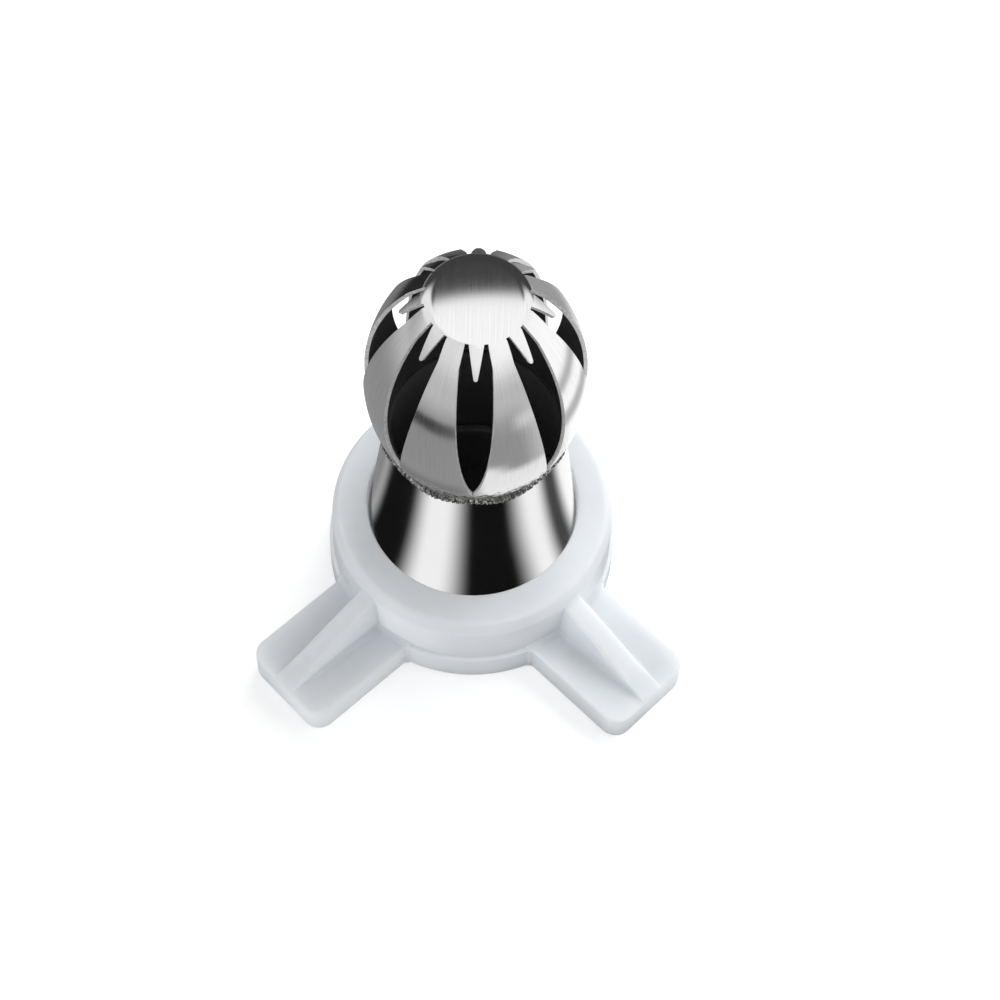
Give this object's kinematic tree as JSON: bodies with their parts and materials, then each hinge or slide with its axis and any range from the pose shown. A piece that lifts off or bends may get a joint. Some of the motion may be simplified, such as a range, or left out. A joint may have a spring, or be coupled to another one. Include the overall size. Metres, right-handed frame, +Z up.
{
  "type": "ball icing nozzle with lock collar",
  "caption": "Slotted steel ball nozzle for piping icing, held on a threaded base by a winged plastic lock collar.",
  "frame": {"origin": "centre of the base's bore at the flat bottom that the base and the collar share", "axes": "+Z up along the common axis, from the base to the ball's flat top; -Y halfway between the two front wings"},
  "size_m": [0.0624, 0.0682, 0.0713],
  "materials": {
    "brushed_ball": "brushed stainless steel",
    "polished_cone": "mirror polished stainless steel",
    "weld": "rough weld metal",
    "collar_plastic": "milky translucent polypropylene",
    "base_plastic": "milky translucent polypropylene"
  },
  "bodies": {
    "base": {"coupler_base": "base_plastic"},
    "nozzle": {"nozzle_cone": "polished_cone", "nozzle_dome": "brushed_ball", "weld_bead": "weld"},
    "collar": {"lock_collar": "collar_plastic"}
  },
  "joints": [
    {"name": "nozzle_lift", "type": "slide", "parent": "base", "child": "nozzle", "axis": [0, 0, 1], "range_m": [0, 0.0075]},
    {"name": "collar_turn", "type": "hinge", "parent": "nozzle", "child": "collar", "pos_m": [0, 0, 0], "axis": [0, 0, 1], "range_deg": [0, 900]}
  ],
  "couplings": [
    {"joint": "nozzle_lift", "follows": "collar_turn", "m_per_rad": 0.00047746}
  ]
}
